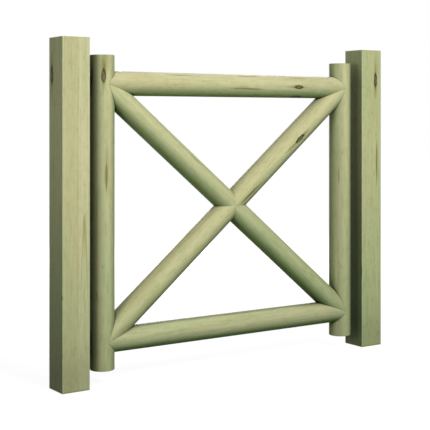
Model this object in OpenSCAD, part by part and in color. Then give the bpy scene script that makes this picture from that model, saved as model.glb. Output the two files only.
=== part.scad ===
// Round-log garden gate: a log leaf with crossed braces, hung between two square posts.
// Origin: middle of the hinge post's foot. +X runs to the latch post, +Y to the back, +Z up.
// Millimetres.

/* [Posts] */
// Side of each square post
post_w = 90; // [75:1:120]
// How far the posts stand above the leaf
post_rise = 49; // [0:1:200]
// Clear width between the two posts
opening_w = 1070; // [800:5:1500]
// Rounding of the posts' long edges
post_arris = 2; // [1:0.5:4]

/* [Leaf] */
// Diameter of every log in the leaf
log_d = 75; // [60:1:90]
// Length of the upright logs
stile_l = 950; // [600:5:1400]
// Ground clearance under the upright logs
leaf_lift = 46; // [30:1:100]
// From the end of an upright log to the middle of the rail beside it
rail_inset = 85; // [70:1:140]
// Gap between the hinge post and the leaf
hinge_gap = 25; // [20:1:40]
// Gap between the latch post and the leaf
latch_gap = 30; // [25:1:50]
// How far the leaf's middle plane stands in front of the posts' middle plane
leaf_forward = 4; // [0:0.5:10]
// Rounding of the sawn ends of the upright logs
log_arris = 1.5; // [0.5:0.5:3]

/* [Joints between logs] */
// Where a coped end is paper-thin: how far short of the corner or the crossing it stops
cope_blunt = 5; // [4:0.5:8]
// Diameter of the round tenon on each end of a rail
tenon_d = 36; // [30:1:42]
// How deep a tenon goes into its upright, from the crown of the log
tenon_l = 55; // [45:1:60]
// Play round a tenon
tenon_play = 0.2; // [0.1:0.1:0.5]
// Room past the end of a tenon
mortise_room = 2; // [1:0.5:4]

/* [Strap hinges] */
// Length of a strap, from the middle of its eye
strap_l = 320; // [240:5:450]
// Height of a strap and its eye
strap_h = 35; // [30:1:45]
// Thickness of a strap
strap_t = 4; // [3:0.5:5]
// Depth of the flat planed on the back of the logs to seat a strap
strap_seat = 3; // [2:0.5:4]
// Room left on the flat above, below and past the tip of a strap
seat_room = 1; // [0.5:0.5:5]
// Diameter of a pintle's pin and shank
pin_d = 12; // [10:1:14]
// Play between the pin and the strap's eye, all round
pin_play = 0.08; // [0.02:0.02:0.1]
// From the leaf's edge back to the middle of the pin, across the hinge gap
pin_inset = 5; // [4:0.5:7]
// How deep a pintle's shank goes into the post
shank_depth = 65; // [45:1:70]
// Inner radius of a pintle's bend
bend_r = 7; // [5:0.5:10]
// Height of the collar that carries the eye
collar_h = 5; // [3:0.5:8]
// How far the collar stands out from the pin
collar_rim = 4; // [2:0.5:6]
// Running gap between the collar and the eye
collar_play = 0.3; // [0.1:0.1:1]
// How far the pin stands above the eye
pin_rise = 6; // [3:1:12]

/* [Screws] */
// Diameter of the dome-headed screws through the straps and tenons
dome_screw_d = 7; // [6:0.5:8]
// Length of the dome-headed screws, under the head
dome_screw_l = 55; // [45:1:55]
// Diameter of a dome head
dome_d = 15; // [13:0.5:16]
// Height of a dome head
dome_h = 4; // [3:0.5:5]
// Number of screws in each strap
strap_screws = 4; // [3:1:4]
// From the strap's free end to its last screw
strap_end_margin = 24; // [18:1:40]
// From a brace screw to the next strap screw, along the rail
strap_screw_room = 26; // [20:1:40]
// Room round a screw's head on the flat or in the counterbore that takes it
head_room = 1.5; // [1:0.5:3]
// Diameter of the coach screws that hold the braces
coach_d = 10; // [8:1:12]
// Across the flats of a coach screw's head
coach_af = 17; // [13:1:19]
// Height of a coach screw's head
coach_head_h = 6.5; // [5:0.5:8]
// Diameter of a washer
washer_d = 23; // [20:1:24]
// Thickness of a washer
washer_t = 2; // [1:0.5:3]
// Depth of the counterbore, from the crown of the log
counterbore_l = 14; // [12:1:18]
// Wood left past the end of a brace screw
brace_cover = 14; // [8:1:25]
// From the middle of an upright to the brace screw beside it
brace_screw_x = 62; // [58:1:70]
// How far the middle screw goes on into the front brace
lap_grip = 25; // [15:1:28]

/* [Hidden] */
$fn = 96;
log_r = log_d / 2;
post_face_x = post_w / 2;
latch_face_x = post_face_x + opening_w;
latch_post_x = latch_face_x + post_w / 2;
post_h = leaf_lift + stile_l + post_rise;
leaf_y = -leaf_forward;
hinge_stile_x = post_face_x + hinge_gap + log_r;
latch_stile_x = latch_face_x - latch_gap - log_r;
rail_z = [leaf_lift + rail_inset, leaf_lift + stile_l - rail_inset];
rail_span = latch_stile_x - hinge_stile_x;
rail_rise = rail_z[1] - rail_z[0];
leaf_middle = [hinge_stile_x + rail_span / 2, leaf_y, rail_z[0] + rail_rise / 2];
brace_l = norm([rail_span, rail_rise]);
brace_slope = atan2(rail_rise, rail_span);

// A strap lies on the planed flat, and its eye is rolled forward from its back face.
strap_front_y = leaf_y + log_r - strap_seat;
strap_back_y = strap_front_y + strap_t;
eye_r = pin_d / 2 + pin_play + strap_t;
pin_x = post_face_x + hinge_gap - pin_inset;
pin_y = strap_back_y - eye_r;
bend_mid_r = bend_r + pin_d / 2;
collar_top = -strap_h / 2 - collar_play;
shank_z = collar_top - collar_h - bend_mid_r;

// The first screw of a strap pins the rail's tenon. The others stand past the brace screw,
// up to the one near the strap's tip. All are measured from the middle of the upright.
second_screw = brace_screw_x + strap_screw_room;
last_screw = pin_x + strap_l - strap_end_margin - hinge_stile_x;
screw_step = (last_screw - second_screw) / (strap_screws - 2);
function strap_screw_x(k) = k == 1 ? 0 : second_screw + (k - 2) * screw_step;

// A brace screw ends inside the brace, which is this thick above the rail at that place.
brace_above_rail = brace_screw_x * tan(brace_slope) + log_r / cos(brace_slope) - log_r;
brace_grip = brace_above_rail - brace_cover;
counterbore_d = washer_d + 2 * head_room;
screw_play = 0.1;
screw_tip = 0.5;
tip_d = 1;
dome_crown = 0.4;
pin_chamfer = 1.5;
// How far a cut runs past the face it starts from.
over = 1;
far = 3 * (opening_w + post_h);

// Brace screws come in pairs: [which upright, which rail]
BRACE_CORNERS = [[0, 0], [1, 0], [0, 1], [1, 1]];
SIDE = ["hinge", "latch"];
LEVEL = ["lower", "upper"];
function brace_corner_name(c) = str(LEVEL[c[1]], "_", SIDE[c[0]]);

wood = "#bcbc8c";
steel = "#b4b8ba";

// ---- Shapes used by more than one piece ----

// A square timber that stands on z = 0, with its long edges rounded.
module square_post() {
    flat_w = post_w - 2 * post_arris;
    linear_extrude(post_h) {
        square([post_w, flat_w], center = true);
        square([flat_w, post_w], center = true);
        for (x = [-1, 1], y = [-1, 1])
            translate([x, y] * flat_w / 2) circle(post_arris);
    }
}

// An upright log with rounded sawn ends, standing on the origin.
module stile_log() {
    rotate_extrude() {
        square([log_r - log_arris, stile_l]);
        translate([0, log_arris]) square([log_r, stile_l - 2 * log_arris]);
        for (z = [log_arris, stile_l - log_arris])
            translate([log_r - log_arris, z]) intersection() {
                circle(log_arris);
                translate([0, -log_arris]) square([log_arris, 2 * log_arris]);
            }
    }
}

// The place of one upright: side 0 is the hinge side, side 1 the latch side.
module at_stile(side) {
    translate([hinge_stile_x + side * rail_span, leaf_y, leaf_lift]) children();
}

// The full round of one upright, longer than the log, to cope the rails and braces against.
module stile_round(side) {
    at_stile(side) translate([0, 0, -stile_l / 2]) cylinder(r = log_r, h = 2 * stile_l);
}

// A round bar along +X at a rail's height, that stops `short` of the uprights' middles.
module rail_round(level, r, short = 0) {
    translate([hinge_stile_x + short, leaf_y, rail_z[level]])
        rotate([0, 90, 0]) cylinder(r = r, h = rail_span - 2 * short);
}

// The full round of one brace, that stops `short` of the corners.
// way 1 rises towards the latch, way -1 falls.
module brace_round(way, short = 0) {
    translate(leaf_middle) rotate([0, 90 - way * brace_slope, 0])
        cylinder(r = log_r, h = brace_l - 2 * short, center = true);
}

// Everything behind the middle plane of the leaf (side 1) or in front of it (side -1).
module half_space(side) {
    translate([-far / 2, side > 0 ? leaf_y : leaf_y - far, -far / 2]) cube(far);
}

// A hole drilled along +Z from the origin, open towards -Z.
module drilled(d, l) {
    translate([0, 0, -over]) cylinder(d = d, h = l + over);
}

// ---- Places of the fixings. Each one's +Z is the way the screw is driven. ----

// A screw driven forward into the back of the leaf, on the flat left at depth `sink`.
module at_back(x, z, sink) {
    translate([x, leaf_y + log_r - sink, z]) rotate([90, 0, 0]) children();
}

module at_strap_screw(level, k) {
    at_back(hinge_stile_x + strap_screw_x(k), rail_z[level], strap_seat) children();
}

module at_tenon_screw(level) {
    at_back(latch_stile_x, rail_z[level], strap_seat) children();
}

// A brace screw, driven through its rail from the rail's far side. The origin is the crown.
module at_brace_screw(c) {
    x = c[0] == 0 ? hinge_stile_x + brace_screw_x : latch_stile_x - brace_screw_x;
    turn = c[1] == 0 ? 0 : 180;
    translate([x, leaf_y, rail_z[c[1]]]) rotate([turn, 0, 0])
        translate([0, 0, -log_r]) children();
}

module at_middle_screw() {
    at_back(leaf_middle[0], leaf_middle[2], 0) children();
}

// ---- Cuts ----

// Counterbore from the crown, and a clearance hole l deep from the crown.
module coach_hole(l) {
    drilled(counterbore_d, counterbore_l);
    drilled(coach_d + 2 * screw_play, l);
}

module dome_hole() {
    drilled(dome_screw_d + 2 * screw_play, dome_screw_l + screw_tip);
}

// The seat planed across the backs of the logs for one strap.
module strap_flat(level) {
    seat_h = strap_h + 2 * seat_room;
    translate([post_face_x, strap_front_y, rail_z[level] - seat_h / 2])
        cube([pin_x + strap_l + seat_room - post_face_x, log_r, seat_h]);
}

// The seat planed in the back of the latch upright for a screw's head.
module tenon_screw_flat(level) {
    at_tenon_screw(level) translate([0, 0, -strap_seat]) drilled(dome_d + 2 * head_room, strap_seat);
}

// All that is cut at the corners of one rail for its strap and for the screws in its tenons.
module corner_cuts(level) {
    strap_flat(level);
    tenon_screw_flat(level);
    at_strap_screw(level, 1) dome_hole();
    at_tenon_screw(level) dome_hole();
}

// ---- Posts and pintles ----

module shank_hole(level) {
    translate([post_face_x - shank_depth, pin_y, rail_z[level] + shank_z])
        rotate([0, 90, 0]) cylinder(d = pin_d, h = shank_depth + over);
}

module hinge_post() {
    color(wood) difference() {
        square_post();
        for (level = [0, 1]) shank_hole(level);
    }
}

module latch_post() {
    color(wood) translate([latch_post_x, 0, 0]) square_post();
}

// A bent pintle: a shank driven into the post, an upright pin, and a collar under the eye.
module pintle(level) {
    straight_x = pin_x - bend_mid_r;
    pin_foot = shank_z + bend_mid_r;
    pin_top = strap_h / 2 + pin_rise;
    color(steel) translate([0, pin_y, rail_z[level]]) {
        translate([post_face_x - shank_depth, 0, shank_z]) rotate([0, 90, 0])
            cylinder(d = pin_d, h = straight_x - post_face_x + shank_depth);
        translate([straight_x, 0, pin_foot]) rotate([90, 0, 0]) rotate([0, 0, -90])
            rotate_extrude(angle = 90) translate([bend_mid_r, 0]) circle(d = pin_d);
        translate([pin_x, 0, 0]) {
            translate([0, 0, pin_foot]) cylinder(d = pin_d, h = pin_top - pin_chamfer - pin_foot);
            translate([0, 0, pin_top - pin_chamfer])
                cylinder(d1 = pin_d, d2 = pin_d - 2 * pin_chamfer, h = pin_chamfer);
            translate([0, 0, collar_top - collar_h])
                cylinder(r = pin_d / 2 + collar_rim, h = collar_h);
        }
    }
}

// ---- Logs of the leaf ----

// An upright: mortises for the rails' tenons, seats for the straps or screw heads.
module stile(side) {
    crown = side == 0 ? 1 : -1;
    mortise_l = tenon_l + mortise_room;
    color(wood) difference() {
        at_stile(side) stile_log();
        for (level = [0, 1]) {
            translate([hinge_stile_x + side * rail_span + crown * log_r, leaf_y, rail_z[level]])
                rotate([0, -crown * 90, 0]) drilled(tenon_d + 2 * tenon_play, mortise_l);
            corner_cuts(level);
        }
    }
}

// A rail: coped to the round of both uprights, with a round tenon on each end.
module rail(level) {
    color(wood) difference() {
        union() {
            difference() {
                rail_round(level, log_r, cope_blunt);
                for (side = [0, 1]) stile_round(side);
            }
            rail_round(level, tenon_d / 2, log_r - tenon_l);
        }
        corner_cuts(level);
        for (k = [2 : strap_screws]) at_strap_screw(level, k) dome_hole();
        for (c = BRACE_CORNERS)
            if (c[1] == level) at_brace_screw(c) coach_hole(log_d + over);
    }
}

// A brace: coped to the uprights and rails, and halved over the other brace.
// The falling brace runs on in front, the rising brace behind.
module brace(way) {
    color(wood) difference() {
        brace_round(way, cope_blunt);
        for (k = [0, 1]) {
            stile_round(k);
            rail_round(k, log_r);
            corner_cuts(k);
        }
        intersection() {
            union() {
                brace_round(-way);
                translate(leaf_middle) rotate([90, 0, 0])
                    cylinder(r = cope_blunt, h = log_d + 2 * over, center = true);
            }
            half_space(-way);
        }
        for (c = BRACE_CORNERS)
            at_brace_screw(c) drilled(coach_d + 2 * screw_play, log_d + brace_grip + screw_tip);
        at_middle_screw() coach_hole(log_r + lap_grip + screw_tip);
    }
}

// ---- Straps ----

// A flat strap with a rounded tip, its eye rolled forward round the pin.
module strap(level) {
    color(steel) difference() {
        translate([pin_x, 0, rail_z[level]]) {
            translate([0, strap_front_y, -strap_h / 2])
                cube([strap_l - strap_h / 2, strap_t, strap_h]);
            translate([strap_l - strap_h / 2, strap_front_y, 0]) rotate([-90, 0, 0])
                cylinder(d = strap_h, h = strap_t);
            translate([0, pin_y, 0]) cylinder(r = eye_r, h = strap_h, center = true);
        }
        translate([pin_x, pin_y, rail_z[level]])
            cylinder(r = pin_d / 2 + pin_play, h = strap_h + 2 * over, center = true);
        for (k = [1 : strap_screws])
            at_strap_screw(level, k) translate([0, 0, -strap_t])
                drilled(dome_screw_d + 2 * screw_play, 2 * strap_t);
    }
}

// ---- Screws and washers. +Z is the way they are driven, and the head seats on z = 0. ----

// A screw with a domed head.
module dome_screw() {
    color(steel) {
        cylinder(d = dome_screw_d, h = dome_screw_l - dome_screw_d);
        translate([0, 0, dome_screw_l - dome_screw_d])
            cylinder(d1 = dome_screw_d, d2 = tip_d, h = dome_screw_d);
        dome_head();
    }
}

// A cap of a ball, flat underneath and cut flat on top.
module dome_head() {
    ball_r = (pow(dome_d / 2, 2) + pow(dome_h, 2)) / (2 * dome_h);
    intersection() {
        translate([0, 0, ball_r - dome_h]) sphere(ball_r);
        translate([0, 0, dome_crown - dome_h]) cylinder(d = dome_d, h = dome_h - dome_crown);
    }
}

// A hexagon-headed screw that runs l past its washer's underside.
module coach_screw(l) {
    color(steel) {
        translate([0, 0, -washer_t - coach_head_h])
            cylinder(d = coach_af / cos(30), h = coach_head_h, $fn = 6);
        translate([0, 0, -washer_t]) cylinder(d = coach_d, h = l + washer_t - coach_d);
        translate([0, 0, l - coach_d]) cylinder(d1 = coach_d, d2 = tip_d, h = coach_d);
    }
}

module washer() {
    color(steel) translate([0, 0, -washer_t]) difference() {
        cylinder(d = washer_d, h = washer_t);
        translate([0, 0, -over]) cylinder(d = coach_d + 2 * screw_play, h = washer_t + 2 * over);
    }
}

module brace_screw(c) {
    at_brace_screw(c) translate([0, 0, counterbore_l])
        coach_screw(log_d + brace_grip - counterbore_l);
}

module brace_washer(c) {
    at_brace_screw(c) translate([0, 0, counterbore_l]) washer();
}

module middle_screw() {
    at_middle_screw() translate([0, 0, counterbore_l])
        coach_screw(log_r + lap_grip - counterbore_l);
}

module middle_washer() {
    at_middle_screw() translate([0, 0, counterbore_l]) washer();
}

// ---- The nodes ----

hinge_post();
latch_post();
for (side = [0, 1])
    stile(side);
rail(0);  // bottom_rail
rail(1);  // top_rail
brace(-1);  // falling_brace
brace(1);  // rising_brace
for (level = [0, 1]) {
    pintle(level);
    strap(level);
    at_tenon_screw(level) dome_screw();
    for (k = [1 : strap_screws])
        at_strap_screw(level, k) translate([0, 0, -strap_t]) dome_screw();
}
for (c = BRACE_CORNERS) {
    brace_screw(c);
    brace_washer(c);
}
middle_screw();
middle_washer();
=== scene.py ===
import math

import bmesh
import bpy
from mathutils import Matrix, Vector


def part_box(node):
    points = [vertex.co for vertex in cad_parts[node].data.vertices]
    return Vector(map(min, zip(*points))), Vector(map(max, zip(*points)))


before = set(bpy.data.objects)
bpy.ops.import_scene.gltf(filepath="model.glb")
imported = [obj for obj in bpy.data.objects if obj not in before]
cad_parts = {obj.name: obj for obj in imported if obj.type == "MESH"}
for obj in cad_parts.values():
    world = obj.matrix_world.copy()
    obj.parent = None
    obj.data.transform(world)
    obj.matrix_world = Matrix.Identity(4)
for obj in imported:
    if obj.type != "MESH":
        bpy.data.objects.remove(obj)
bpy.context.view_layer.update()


# ---------------------------------------------------------------- gate posts
# Two square posts of pressure-treated pine, planed all round, with eased long edges. The
# treatment leaves the sapwood a pale yellowish green that is greener at the foot, and painted
# shade darkens the foot and the sides turned from the lamps. Their feet stand on the ground
# line.

class Value:
    """One output of a node in a material, or a start that has none yet. Sums on it add Math
    nodes."""

    def __init__(self, tree, out=None):
        self.tree = tree
        self.out = out

    def node(self, kind, settings, sockets, out=0):
        """A new node, its settings made before its sockets are filled."""
        made = self.tree.nodes.new("ShaderNode" + kind)
        for key, setting in settings.items():
            if key == "stops":
                ramp = made.color_ramp
                while len(ramp.elements) < len(setting):
                    ramp.elements.new(0.5)
                for element, (place, shade) in zip(ramp.elements, setting):
                    element.position = place
                    element.color = (shade, shade, shade, 1)
            else:
                setattr(made, key, setting)
        for key, value in sockets.items():
            if isinstance(value, Value):
                self.tree.links.new(value.out, made.inputs[key])
            else:
                made.inputs[key].default_value = value
        return Value(self.tree, made.outputs[out])

    def math(self, operation, first, second=0.0):
        return self.node("Math", {"operation": operation}, {0: first, 1: second})

    def __add__(self, other):
        return self.math("ADD", self, other)

    __radd__ = __add__

    def __sub__(self, other):
        return self.math("SUBTRACT", self, other)

    def __rsub__(self, other):
        return self.math("SUBTRACT", other, self)

    def __mul__(self, other):
        return self.math("MULTIPLY", self, other)

    __rmul__ = __mul__

    def __truediv__(self, other):
        return self.math("DIVIDE", self, other)

    def __neg__(self):
        return self * -1

    def __abs__(self):
        return self.math("ABSOLUTE", self)

    def most(self, other):
        return self.math("MAXIMUM", self, other)

    def ease(self, low, high):
        """0 below low, 1 above high, and smooth between them."""
        return self.node("MapRange", {"interpolation_type": "SMOOTHSTEP"},
                         {0: self, 1: low, 2: high, 3: 0.0, 4: 1.0})

    def part(self, axis):
        """The x, y or z of a vector, for axis 0, 1 or 2."""
        return self.node("SeparateXYZ", {}, {0: self}, axis)

    def vector(self, operation, other, out=0):
        return self.node("VectorMath", {"operation": operation}, {0: self, 1: other}, out)

    def dot(self, other):
        return self.vector("DOT_PRODUCT", other, 1)

    def length(self):
        return self.node("VectorMath", {"operation": "LENGTH"}, {0: self}, 1)

    def scaled(self, amount):
        return self.node("VectorMath", {"operation": "SCALE"}, {0: self, "Scale": amount})

    def noise(self, across, along, detail, shift):
        """Noise from 0 to 1, finer across the grain than along it."""
        at = self.node("Mapping", {"vector_type": "POINT"},
                       {"Vector": self, "Location": (shift, shift * 1.7, shift * 2.3),
                        "Scale": (across, across, along)})
        return self.node("TexNoise", {}, {"Vector": at, "Scale": 1.0, "Detail": detail,
                                          "Roughness": 0.55})

    def between(self, first, second):
        """A colour that goes from first at 0 to second at 1."""
        return self.node("Mix", {"data_type": "RGBA"},
                         {0: self, 6: (*first, 1), 7: (*second, 1)}, 2)

    def mixed(self, colour, amount, how="MIX"):
        """This colour with another laid over it."""
        if not isinstance(colour, Value):
            colour = (*colour, 1)
        return self.node("Mix", {"data_type": "RGBA", "blend_type": how},
                         {0: amount, 6: self, 7: colour}, 2)

    def stained(self, colour, amount):
        """This colour multiplied by another, as a stain sinks into wood."""
        return self.mixed(colour, amount, "MULTIPLY")


def strongest(marks):
    """The strongest of several marks at each point, and 0 where there is none."""
    top = 0.0
    for mark in marks:
        top = mark.most(top)
    return top


def blank(name):
    """A new material, the place of each point, and the way that the surface faces there."""
    material = bpy.data.materials.new(name)
    material.use_nodes = True
    start = Value(material.node_tree)
    place = start.node("TexCoord", {}, {}, "Object")
    facing = start.node("TexCoord", {}, {}, "Normal")
    return material, place, facing


def coated(material, sockets):
    """Fills the sockets of the material's shader."""
    tree = material.node_tree
    shader = tree.nodes["Principled BSDF"]
    for name, value in sockets.items():
        if isinstance(value, Value):
            tree.links.new(value.out, shader.inputs[name])
        else:
            shader.inputs[name].default_value = value
    return material


def timber(name, middle, turn, half, pith, seed, tone, knots=(), streaks=(), cracks=(),
           arches=(), joints=(), reach=0.09, nook_shade_strength=0.95, square=0.0, sap=None, inward=1):
    """Treated pine. middle and turn place the piece so that z runs along the grain, half is
    half its length, and pith is where the heart of the tree lies in its section. seed
    chooses the grain, and tone multiplies the colour.

    Marks have their place in the piece's own section and length. A knot is (x, y, z, width,
    length, strength), a streak or a crack (one end, other end, width, strength), and an arch
    (x, peak, spread). A joint is (a corner of the leaf, lean in degrees, strength).

    Painted shade, nook_shade_strength strong, darkens nooks narrower than reach. square is
    half the side of a sawn post, and paler sapwood begins at sap. inward is 1 on a piece that
    has the middle of the leaf on its right, and -1 on one that has it on its left."""
    material, place, facing = blank(name)
    grain = place.node("Mapping", {"vector_type": "TEXTURE"},
                       {"Vector": place, "Location": middle, "Rotation": turn})

    # Knots: the grain parts round each one. A knot has a dark rim, and a stain runs on from
    # it along the grain.
    rough_edge = grain.noise(170, 70, 4, seed + 9)
    broken = grain.noise(110, 60, 1, seed + 10).ease(0.34, 0.54) * 0.5 + 0.6
    bent = grain
    hearts, rims, stains = [], [], []
    for x, y, z, width, length, strength in knots:
        away = grain.vector("SUBTRACT", (x, y, z))
        spread = away.vector("MULTIPLY", (1 / width, 1 / width, 1 / length)).length()
        near = grain.math("EXPONENT", spread * spread * -0.22)
        bent = bent.vector("SUBTRACT", away.vector("MULTIPLY", (0.55, 0.55, 0)).scaled(near))
        edge = spread + (rough_edge - 0.5)
        border = edge.node(
            "ValToRGB", {"stops": [(0, 0.7), (0.12, 0.55), (0.26, 0.1), (0.38, 0.3),
                                   (0.54, 1.0), (0.76, 0.85), (0.95, 0.0)]},
            {0: edge * 0.75})
        tail = away.vector("MULTIPLY", (0.9 / width, 0.9 / width, 0.36 / length)).length()
        hearts.append((1 - edge.ease(0.85, 1.25)) * strength)
        rims.append(border * (broken * strength))
        stains.append((1 - tail.ease(0.2, 1.3)) * strength)
    knot, rim, stain = strongest(hearts), strongest(rims), strongest(stains)

    # Growth rings round the pith, which wanders along the tree and tapers upwards. Each
    # ring ends in a darker line of late wood, stronger in some years than in others.
    ring, taper, stray = 0.0042, 0.006, 0.013
    wander = bent.noise(14, 1.6, 1, seed)
    fibre = bent.noise(330, 7, 4, seed + 3)
    blotch = bent.noise(22, 1.9, 2, seed + 5)
    broad = bent.noise(60, 2.6, 3, seed + 7)
    section = bent.vector("MULTIPLY", (1, 1, 0)).vector("SUBTRACT", (pith[0], pith[1], 0))
    age = section.length() + bent.part(2) * taper + wander * stray + fibre * 0.0007
    age = age / ring
    year = age.math("FLOOR", age)
    late = age.node(
        "ValToRGB", {"stops": [(0, 0.0), (0.42, 0.12), (0.84, 1.0), (0.94, 0.8), (1.0, 0.0)]},
        {0: age.math("FRACT", age)})
    late = late * (year.node("TexWhiteNoise", {"noise_dimensions": "1D"}, {"W": year}) * 0.7
                   + 0.2)

    # Colour: tan, greener low down and underneath. Painted shade darkens the undersides,
    # the low parts, the tops of low pieces and the flanks, and painted light pales the tops
    # of higher pieces. shade is 0 on a face turned to the front or the sky, and 1 on one
    # turned away from both.
    level = place.part(2)
    foot = 1 - level.ease(0.0, 1.0)
    side, upward = facing.part(0), facing.part(2)
    shade = 1 - (abs(facing.part(1)) * 0.68 + facing.dot((0.05, 0, 0.74))).ease(0.15, 0.97)
    under = (-upward).ease(0.15, 0.95)
    flank = 0.0 if square else abs(side).ease(0.1, 0.6)
    green = (blotch - 0.5) * 1.5 + under * 0.4 + foot * 0.45 + side * flank * 0.7 + 0.16
    wood = green.ease(0.0, 1.0).between((0.57, 0.55, 0.30), (0.475, 0.535, 0.275))
    wood = wood.mixed((0.555, 0.50, 0.29), broad.ease(0.54, 0.72) * 0.4)
    # Undersides greener and darker: the green of the treatment, with painted shade.
    wood = wood.mixed((0.30, 0.44, 0.13), under * (foot * 0.3 + 0.7))
    # Painted shade: the undersides of the low pieces darkened to a deep green.
    underside_shade = (-upward).ease(0.35, 0.98) * (foot * 1.6 - 0.6).most(0.0)
    wood = wood.stained((0.17, 0.28, 0.05), underside_shade)
    # Painted light: the tops of the higher pieces paler.
    top_light = upward.ease(0.55, 1.0) * (1 - foot * 1.6).most(0.0) * 0.75
    wood = wood.mixed((0.68, 0.67, 0.46), top_light)
    # Painted shade: the tops darker, the lower the piece.
    wood = wood.stained((0.25, 0.27, 0.17), upward.ease(0.84, 1.0) * foot)
    # Painted shade: darker towards the bottom.
    if square:
        wood = wood.stained((0.91, 0.91, 0.91), 1 - level.ease(0.0, 0.35))
    else:
        wood = wood.stained((0.88, 0.89, 0.88), 1 - level.ease(-0.06, 0.30))
    wood = wood.stained(tone, 1.0)

    # Grain: late wood, dark and pale fibres, a fine mottle, and the flecks of cut rays.
    wood = wood.stained((0.78, 0.74, 0.62), late * 0.45)
    wood = wood.stained((0.70, 0.70, 0.62), fibre.ease(0.56, 0.80) * 0.5)
    wood = wood.mixed((1.0, 0.98, 0.86), fibre.ease(0.46, 0.22) * 0.2)
    mottle = grain.noise(90, 26, 3, seed + 12)
    wood = wood.stained((0.80, 0.80, 0.74), mottle.ease(0.44, 0.70) * 0.5)
    fleck = grain.noise(260, 50, 2, seed + 13).ease(0.64, 0.72)
    wood = wood.stained((0.62, 0.58, 0.46), fleck * 0.6)
    if sap is not None:
        across = grain.part(0) - sap + (wander - 0.5) * 0.002
        wood = wood.stained((0.91, 0.90, 0.84), 1 - across.ease(-0.001, 0.001))
        seam = 1 - abs(across).ease(0.0004, 0.0016)
        wood = wood.stained((0.80, 0.74, 0.60), seam * (mottle * 0.8))

    # A post has painted shade: greyer at its top, darker on its shaded faces towards the
    # foot, less so on its right, and darker on the face next to the leaf as the leaf's
    # shadow. Its
    # long edges are pale: wear, and a painted highlight along the arris.
    if square:
        wood = wood.stained((0.84, 0.87, 0.86), level.ease(0.65, 1.05) * (1 - shade * 0.8))
        # Painted shade on the shaded faces low down, less on the right side.
        foot_shade = (shade * 1.5 - 0.5).most(0.0) * (1 - level.ease(0.0, 0.88))
        foot_shade = foot_shade * (1 - side.ease(0.0, 0.8) * 0.7)
        wood = wood.stained((0.48, 0.485, 0.48), foot_shade)
        # Painted shadow of the leaf on the face next to it.
        beside = (side * inward).ease(0.5, 0.9) * (1 - level.ease(0.93, 1.0) * 0.5)
        wood = wood.stained((0.60, 0.56, 0.60), beside * level.ease(-0.20, 0.55))
        # Pale long edges: wear, and a painted highlight along the rounded arris.
        corner = abs(grain.part(0)) + abs(grain.part(1))
        wear_and_highlight = corner.ease(2 * square - 0.0040, 2 * square - 0.0015) * (fibre * 0.8 + 0.2)
        wood = wood.mixed((0.64, 0.65, 0.42), wear_and_highlight * 0.6)

    # Arches: where one ring runs out on a sawn front, brown at its peak.
    for x, peak, spread in arches:
        drop = peak - grain.part(2)
        leg = abs(grain.part(0) - x) - drop.math("SQRT", drop.most(0.0) * spread)
        leg = leg + (fibre - 0.5) * 0.0012
        line = (1 - abs(leg).ease(0.0004, 0.0026)) * (1 - drop.ease(0.12, 0.34))
        full = (1 - leg.ease(-0.001, 0.0012)) * (1 - drop.ease(0.035, 0.13))
        here = drop.ease(-0.012, 0.004) * facing.dot((0, -1, 0)).ease(0.7, 0.9)
        wood = wood.mixed((0.40, 0.31, 0.12), full.most(line * 0.8) * here * 0.75)

    # Resin streaks and drying cracks: brown and near-black spindles along the grain.
    def spindles(marks):
        made = []
        for low, high, width, strength in marks:
            low, high = Vector(low), Vector(high)
            run = (high - low).normalized()
            away = grain.vector("SUBTRACT", (low + high) / 2)
            along = away.dot(run) / ((high - low).length / 2)
            across = away.vector("CROSS_PRODUCT", run).length()
            body = 1.15 - across / width - along * along + (fibre - 0.5) * 0.6
            made.append(body.ease(0.0, 0.8) * strength)
        return strongest(made)

    opened = spindles(cracks)
    wood = wood.mixed((0.24, 0.205, 0.065), spindles(streaks))
    wood = wood.mixed((0.09, 0.085, 0.04), opened)
    wood = wood.mixed((0.24, 0.20, 0.06), stain * (fibre * 1.3 + 0.1))
    wood = wood.mixed((0.18, 0.158, 0.062), knot * 0.9)
    wood = wood.mixed((0.042, 0.038, 0.013), rim * 0.9)

    # Painted shade: faces turned away from the front and the sky are coloured darker and
    # bluer, the two sides of a log darker again, and the side towards the middle of the leaf
    # most.
    if square:
        wood = wood.stained((0.69, 0.77, 0.77), shade)
    else:
        wood = wood.stained((0.715, 0.785, 0.77), shade)
        wood = wood.stained((0.80, 0.79, 0.80), flank)
        wood = wood.stained((0.80, 0.86, 0.76), (side * inward).ease(0.88, 1.0) * flank)

    # A dark line along each joint: the plane of a joint passes through a corner of the leaf,
    # and leans by an angle. Then painted shade in the creases and nooks where the pieces
    # meet.
    for corner, lean, strength in joints:
        lean = math.radians(lean)
        gap = place.vector("SUBTRACT", corner).dot((math.cos(lean), 0, math.sin(lean)))
        line = 1 - abs(gap).ease(0.0006, 0.0022)
        wood = wood.stained((0.30, 0.28, 0.16), line * (mottle * 0.9 + 0.35) * strength)
    # Painted shade in the creases within a few millimetres of where pieces meet.
    joint = place.node("AmbientOcclusion", {"samples": 4}, {"Distance": 0.009}, 1)
    wood = wood.stained((0.36, 0.34, 0.26), 1 - joint.ease(0.45, 0.85))
    # Painted shade in the nooks, darker the more closed in each point is.
    nook = place.node("AmbientOcclusion", {"samples": 8}, {"Distance": reach}, 1)
    nook_shade = (1 - nook.ease(0.0, 1.0)) * level.ease(-0.04, 0.10)
    wood = wood.stained((0.26, 0.27, 0.26), nook_shade * nook_shade_strength)

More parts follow.
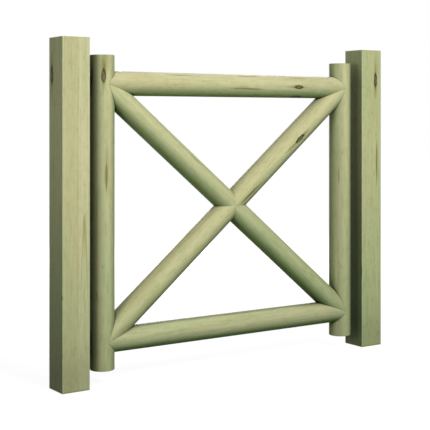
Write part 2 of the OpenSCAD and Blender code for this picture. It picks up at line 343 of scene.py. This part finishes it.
    # Sawn ends: rings, a pinkish heart, and fine cracks that run out from the pith.
    spoke = section.node("VectorMath", {"operation": "NORMALIZE"}, {0: section})
    crack = 1 - abs(spoke.noise(7, 7, 3, seed + 11) - 0.5).ease(0.0, 0.016)
    crack = crack * section.length().ease(0.006, 0.02)
    end = late.between((0.46, 0.43, 0.235), (0.30, 0.255, 0.12))
    end = end.mixed((0.50, 0.38, 0.22), (1 - section.length().ease(0.014, 0.026)) * 0.5)
    end = end.mixed((0.10, 0.085, 0.045), crack * 0.8)
    sawn = abs(grain.part(2)).ease(half - 0.0016, half - 0.0006)
    wood = wood.mixed(end, sawn)

    relief = fibre * 0.5 + late * 0.35 - sawn * crack * 1.2 - fleck * 0.4
    relief = relief - rim * 0.8 - opened * 1.5
    return coated(material, {
        "Base Color": wood,
        "Roughness": 0.66 + (fibre - 0.5) * 0.2 + sawn * 0.15 - knot * 0.14,
        "Specular IOR Level": 0.1,
        "Normal": relief.node("Bump", {}, {"Strength": 0.4, "Distance": 0.0007,
                                           "Height": relief})})


def finished(name, material):
    """Gives one of the frame's pieces its finish."""
    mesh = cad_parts[name].data
    mesh.materials.clear()
    mesh.materials.append(material)


post_low, post_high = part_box("hinge_post")
post_half = (post_high.z - post_low.z) / 2
post_side = (post_high.x - post_low.x) / 2
hinge_post_middle = (post_low + post_high) / 2
latch_post_low, latch_post_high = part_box("latch_post")
latch_post_middle = (latch_post_low + latch_post_high) / 2
finished("hinge_post", timber(
    "hinge post pine", hinge_post_middle, (0, 0, 0), post_half, pith=(0.026, -0.008),
    seed=1, tone=(1.13, 1.10, 1.16), reach=0.18, nook_shade_strength=1.0, square=post_side, sap=0.0066,
    arches=[(0.0263, -0.003, 0.00044)],
    knots=[(-0.045, 0.0255, 0.411, 0.0084, 0.026, 1.0),
           (0.012, 0.045, -0.21, 0.008, 0.014, 0.8),
           (0.045, -0.012, 0.18, 0.009, 0.013, 0.8)],
    streaks=[((-0.045, 0.015, 0.08), (-0.045, 0.016, 0.18), 0.0028, 0.35),
             ((-0.045, -0.030, -0.10), (-0.045, -0.028, 0.05), 0.0070, 0.2)],
    cracks=[((-0.045, -0.043, -0.252), (-0.045, -0.043, -0.233), 0.003, 0.7),
            ((-0.045, 0.0250, 0.388), (-0.045, 0.0245, 0.450), 0.0080, 0.95)]))
finished("latch_post", timber(
    "latch post pine", latch_post_middle, (0, 0, 0), post_half, pith=(0.020, 0.004),
    seed=6, tone=(1.05, 1.10, 1.02), reach=0.18, nook_shade_strength=1.0, square=post_side, inward=-1,
    knots=[(0.0186, -0.045, 0.418, 0.0062, 0.025, 1.0),
           (-0.018, 0.045, 0.12, 0.009, 0.016, 0.9),
           (0.045, 0.01, -0.15, 0.008, 0.015, 0.8)],
    streaks=[((0.0243, -0.045, 0.04), (0.0243, -0.045, 0.214), 0.0052, 0.85)],
    cracks=[((-0.045, -0.0425, -0.288), (-0.045, -0.0425, -0.220), 0.0030, 0.9)]))


# ---------------------------------------------------------------- pintles
# Two bent pintles of zinc-coated steel, driven into the hinge post: each one turns up into
# the pin that the strap's eye drops over, and a collar carries the eye.

def zinc(name, seed, wear):
    """Zinc-coated steel: dull grey with a faint spangle, scuffs and white bloom."""
    material, place, _ = blank(name)
    spangle = place.node("TexVoronoi", {"feature": "F1"},
                         {"Vector": place, "Scale": 190.0, "Randomness": 1.0}, 1)
    spangle = spangle.node("SeparateColor", {}, {0: spangle})
    cloud = place.noise(60, 60, 4, seed)
    scuff = place.noise(420, 35, 3, seed + 2)
    bloom = cloud.ease(0.56, 0.74)
    steel = spangle.between((0.20, 0.21, 0.22), (0.33, 0.34, 0.35))
    steel = steel.mixed((0.46, 0.47, 0.46), bloom * 0.5)
    steel = steel.mixed((0.16, 0.145, 0.125), cloud.ease(0.42, 0.26) * wear)
    return coated(material, {
        "Base Color": steel,
        "Roughness": 0.42 + spangle * 0.1 + scuff * 0.22,
        "Metallic": 1 - bloom * 0.35,
        "Normal": scuff.node("Bump", {}, {"Strength": 0.25, "Distance": 0.0003,
                                          "Height": scuff + cloud * 0.6})})


hinge_zinc = zinc("hinge zinc", seed=3, wear=0.5)
for name in ("lower_pintle", "upper_pintle"):
    finished(name, hinge_zinc)


# ---------------------------------------------------------------- uprights of the leaf
# Two machine-rounded pine logs. The hinge upright carries the straps and the latch upright
# shuts beside its post. Both are bored for the rails' tenons and keep their sawn ends.

log_low, log_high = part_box("hinge_stile")
log_r = (log_high.x - log_low.x) / 2
stile_half = (log_high.z - log_low.z) / 2
hinge_middle = (log_low + log_high) / 2
latch_middle = hinge_middle + Vector((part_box("latch_stile")[1].x - log_high.x, 0, 0))


def on_log(angle, along, width, length, strength):
    """A knot on a log: angle is measured round from the front."""
    turn = math.radians(angle)
    return (log_r * math.sin(turn), -log_r * math.cos(turn), along, width, length, strength)


def down_log(low_angle, low, high_angle, high, width, strength):
    """A streak on a log, from one place to the other."""
    ends = []
    for angle, along in ((low_angle, low), (high_angle, high)):
        turn = math.radians(angle)
        ends.append((log_r * math.sin(turn), -log_r * math.cos(turn), along))
    return (*ends, width, strength)


finished("hinge_stile", timber(
    "hinge upright pine", hinge_middle, (0, 0, 0), stile_half, pith=(0.005, 0.004),
    seed=12, tone=(0.99, 1.01, 0.98), reach=0.060, nook_shade_strength=0.62,
    knots=[on_log(-22, 0.411, 0.0066, 0.019, 0.85), on_log(-86, 0.412, 0.005, 0.02, 1.0),
           on_log(150, -0.16, 0.009, 0.015, 0.9), on_log(75, 0.05, 0.008, 0.013, 0.8)],
    streaks=[down_log(-7, 0.030, -7, 0.230, 0.0110, 0.22),
             down_log(-9, 0.052, -9, 0.214, 0.0024, 0.55),
             down_log(-9, 0.056, -9, 0.165, 0.0062, 0.95),
             down_log(-20, 0.405, -10, 0.500, 0.0150, 0.55),
             down_log(1, 0.415, 3, 0.505, 0.0130, 0.25),
             down_log(-21, 0.418, -15, 0.455, 0.0042, 0.95),
             down_log(-21, 0.420, -25, 0.465, 0.0022, 0.6),
             down_log(-60, -0.46, -56, 0.10, 0.0100, 0.25)],
    cracks=[down_log(-46, -0.277, -61, -0.22, 0.0022, 0.5)]))
finished("latch_stile", timber(
    "latch upright pine", latch_middle, (0, 0, 0), stile_half, pith=(-0.004, 0.006),
    seed=18, tone=(1.02, 1.05, 1.03), reach=0.042, inward=-1,
    knots=[on_log(110, 0.22, 0.008, 0.014, 0.8), on_log(-160, -0.3, 0.009, 0.016, 0.9)],
    streaks=[down_log(-46, 0.047, -46, 0.12, 0.0030, 0.55),
             down_log(-50, -0.15, -47, 0.30, 0.0070, 0.12),
             down_log(-72, -0.296, -74, -0.223, 0.0036, 0.35)]))


# ---------------------------------------------------------------- rails
# Two logs of the same round between the uprights, their ends coped to the uprights and
# tenoned into them. A little is added to half a rail's length, so that no coped end is
# coloured as a sawn one.

rail_turn = (0, math.radians(90), 0)
rail_low, rail_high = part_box("top_rail")
rail_half = (rail_high.x - rail_low.x) / 2 + 0.01
top_middle = (rail_low + rail_high) / 2
rail_drop = Vector((0, 0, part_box("bottom_rail")[1].z - rail_high.z))
top_left = Vector((hinge_middle.x, top_middle.y, top_middle.z))
top_right = Vector((latch_middle.x, top_middle.y, top_middle.z))
bottom_left = top_left + rail_drop
bottom_right = top_right + rail_drop
finished("top_rail", timber(
    "top rail pine", top_middle, rail_turn, rail_half, pith=(0.004, 0.003),
    seed=25, tone=(0.97, 0.955, 0.965),
    knots=[on_log(2, 0.2585, 0.0062, 0.0165, 1.0), on_log(64, 0.259, 0.0065, 0.019, 1.0),
           on_log(170, -0.12, 0.008, 0.015, 0.9)],
    streaks=[down_log(13, -0.035, 17, 0.128, 0.0038, 0.9),
             down_log(4, 0.0, 5, 0.06, 0.0030, 0.35),
             down_log(2, 0.19, 3, 0.25, 0.0026, 0.4),
             down_log(-50, -0.27, -53, -0.15, 0.004, 0.55),
             down_log(-56, 0.0, -54, 0.11, 0.004, 0.6),
             down_log(-51, 0.22, -51, 0.31, 0.004, 0.6)],
    joints=[(top_left, -45, 1.0), (top_right, 45, 0.4)]))
finished("bottom_rail", timber(
    "bottom rail pine", top_middle + rail_drop, rail_turn, rail_half, pith=(-0.006, 0.003),
    seed=31, tone=(1.00, 1.01, 1.03),
    knots=[on_log(-150, 0.2, 0.008, 0.015, 0.9), on_log(120, -0.22, 0.008, 0.015, 0.7)],
    streaks=[down_log(-30, -0.40, -26, -0.31, 0.002, 0.3)],
    joints=[(bottom_left, 45, 0.8), (bottom_right, -45, 0.6)]))


# ---------------------------------------------------------------- braces
# Two logs halved over each other at the middle of the leaf and coped into its corners. The
# falling one runs on in front. A brace's half length is taken past its points, which show
# no sawn end.

brace_half = 0.62
brace_middle = top_middle + rail_drop / 2
slope = math.atan2(-rail_drop.z, latch_middle.x - hinge_middle.x)
along_stile = 45 - math.degrees(slope) / 2
along_rail = 90 - math.degrees(slope) / 2
finished("falling_brace", timber(
    "falling brace pine", brace_middle, (0, math.radians(90) + slope, 0), brace_half,
    pith=(0.006, 0.0), seed=38, tone=(0.99, 1.02, 1.0),
    knots=[on_log(160, 0.25, 0.008, 0.015, 0.9)],
    streaks=[down_log(-33, -0.25, -31, -0.185, 0.0034, 0.6),
             down_log(-15, 0.38, -14, 0.43, 0.002, 0.5)],
    joints=[(top_left, along_stile, 1.0), (top_left, along_rail, 1.0),
            (bottom_right, along_stile, 0.7), (bottom_right, along_rail, 0.7)]))
finished("rising_brace", timber(
    "rising brace pine", brace_middle, (0, math.radians(90) - slope, 0), brace_half,
    pith=(0.0, 0.005), seed=45, tone=(1.02, 1.02, 0.995), reach=0.17, nook_shade_strength=1.0,
    knots=[on_log(5, 0.341, 0.0062, 0.021, 0.95), on_log(-170, -0.2, 0.008, 0.015, 0.9)],
    streaks=[down_log(10, 0.008, 17, 0.145, 0.0040, 0.7),
             down_log(2, 0.26, 4, 0.32, 0.0045, 0.55)],
    cracks=[down_log(9, 0.006, 16, 0.130, 0.0018, 0.9),
            down_log(14, 0.010, 19, 0.090, 0.0013, 0.7)],
    joints=[(top_right, -along_stile, 0.7), (top_right, -along_rail, 0.7),
            (bottom_left, -along_stile, 0.8), (bottom_left, -along_rail, 0.8)]))


# ---------------------------------------------------------------- straps
# Two flat steel straps, each with its end rolled into an eye for the pintle, let into a
# seat planed across the backs of the logs.

for name in ("lower_strap", "upper_strap"):
    finished(name, hinge_zinc)


# ---------------------------------------------------------------- screws
# Domed screws hold the straps and pin the latch side's tenons. Coach screws with washers
# hold the braces, their heads sunk in counterbores.

screw_zinc = zinc("screw zinc", seed=8, wear=0.35)
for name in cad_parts:
    if name.endswith("washer") or "screw" in name:
        finished(name, screw_zinc)


# ---------------------------------------------------------------- ground
# A plain pale floor that keeps the gate's shadow, and a white surround. Both are bright
# where they are looked at, or seen in a mirror or through glass, and throw little light.

def looked_at(tree):
    """1 for rays from the camera, off a mirror or through glass, and 0 for the others."""
    start = Value(tree)
    seen = start.node("LightPath", {}, {}, "Is Camera Ray")
    for ray in ("Is Glossy Ray", "Is Transmission Ray"):
        seen = seen.most(start.node("LightPath", {}, {}, ray))
    return seen


ground = bmesh.new()
bmesh.ops.create_grid(ground, x_segments=1, y_segments=1, size=14)
floor_mesh = bpy.data.meshes.new("floor")
ground.to_mesh(floor_mesh)
ground.free()
floor = bpy.data.objects.new("floor", floor_mesh)
bpy.context.scene.collection.objects.link(floor)
gate_x = 0.58
pale, spot, _ = blank("pale floor")
floor_mesh.materials.append(pale)
away = spot.vector("SUBTRACT", (gate_x, 0, 0)).length()
glow = away.ease(0.9, 2.6) * 0.12 + 0.9
white = glow.node("Emission", {}, {"Color": glow, "Strength": 1.0})
matt = glow.node("BsdfDiffuse", {}, {"Color": (0.16, 0.16, 0.16, 1)})
bright = glow.node("AddShader", {}, {0: white, 1: matt})
dull = glow.node("BsdfDiffuse", {}, {"Color": (0.12, 0.12, 0.11, 1)})
tree = pale.node_tree
shown = glow.node("MixShader", {}, {0: looked_at(tree), 1: dull, 2: bright})
tree.links.new(shown.out, tree.nodes["Material Output"].inputs["Surface"])

world = bpy.data.worlds.new("world")
bpy.context.scene.world = world
world.use_nodes = True
sky = world.node_tree.nodes["Background"]
sky.inputs["Color"].default_value = (1, 1, 1, 1)
strength = looked_at(world.node_tree) * 0.97 + 0.03
world.node_tree.links.new(strength.out, sky.inputs["Strength"])


# ---------------------------------------------------------------- lamps
# Soft studio lamps: a key in front, and weaker ones overhead, to the left, behind, and
# high up behind on the right.

def lamp(name, place, size, level):
    """A square soft box aimed at the middle of the gate. Level 1 lights a face turned
    to it so that its colour shows as it is written."""
    target = Vector((gate_x, 0, 0.55))
    light = bpy.data.lights.new(name, "AREA")
    light.shape = "SQUARE"
    light.size = size
    throw = target - Vector(place)
    light.energy = level * math.pi ** 2 * throw.length_squared
    holder = bpy.data.objects.new(name, light)
    holder.location = place
    holder.rotation_euler = throw.to_track_quat("-Z", "Y").to_euler()
    bpy.context.scene.collection.objects.link(holder)


lamp("key", (0.40, -2.3, 2.0), size=0.8, level=0.835)
lamp("overhead", (0.6, -2.2, 3.2), size=1.2, level=0.16)
lamp("left fill", (-2.5, -1.0, 1.0), size=1.0, level=0.28)
lamp("back fill", (1.75, 3.3, 1.2), size=0.9, level=0.56)
lamp("right fill", (2.9, 2.5, 2.4), size=0.9, level=0.36)


# ---------------------------------------------------------------- camera
# In front of the gate and to its left. The film stands upright, as in a view camera, so that
# upright edges stay parallel, and the lens sits below the film's middle by the fall, which
# makes it look down by the dip. The holder's stretch skews the camera to match.

film = 36
focal = 90.76
fall = 0.2266 * film
dip = math.atan(fall / focal)
lens = bpy.data.cameras.new("camera")
lens.sensor_width = film
lens.lens = focal / math.cos(dip)
holder = bpy.data.objects.new("camera holder", None)
holder.location = (-1.4456, -2.9125, 0.807)
holder.rotation_euler = (math.radians(135) - dip / 2, 0, -math.radians(34.043))
holder.scale = (1, math.sqrt(1 + math.sin(dip)), math.sqrt(1 - math.sin(dip)))
camera = bpy.data.objects.new("camera", lens)
camera.parent = holder
camera.rotation_euler = (-math.radians(45), 0, 0)
for part in (holder, camera):
    bpy.context.scene.collection.objects.link(part)
bpy.context.scene.camera = camera
bpy.context.scene.view_settings.view_transform = "Standard"
